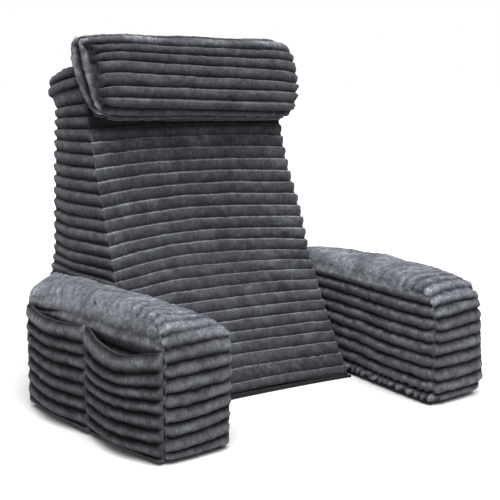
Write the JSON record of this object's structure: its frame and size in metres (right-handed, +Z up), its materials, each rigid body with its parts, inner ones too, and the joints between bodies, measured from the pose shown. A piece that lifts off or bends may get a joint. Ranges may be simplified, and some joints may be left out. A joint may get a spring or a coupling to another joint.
{
  "type": "reading pillow with arms",
  "caption": "Floor and bed backrest of ribbed plush: a filled back with a neck roll, an arm on each side of the seat, and patch pockets on one arm.",
  "frame": {"origin": "on the floor, under the middle of the whole pillow's bounding box", "axes": "+Z up, +Y towards the back of the pillow, +X towards the arm without pockets (the left arm, with the pockets, is on the viewer's left)"},
  "size_m": [0.6282, 0.5312, 0.5393],
  "materials": {
    "back_cushion": "slate ribbed plush",
    "arm_left": "slate ribbed plush",
    "arm_right": "slate ribbed plush",
    "neck_roll": "slate ribbed plush",
    "pocket_front": "slate ribbed plush",
    "pocket_rear": "slate ribbed plush",
    "base_left": "plain black base cloth",
    "base_right": "plain black base cloth",
    "base_back": "plain black base cloth"
  },
  "bodies": {
    "root": {"back_cushion": "back_cushion", "arm_left": "arm_left", "arm_right": "arm_right", "neck_roll": "neck_roll", "pocket_front": "pocket_front", "pocket_rear": "pocket_rear", "base_left": "base_left", "base_right": "base_right", "base_back": "base_back"}
  },
  "joints": []
}
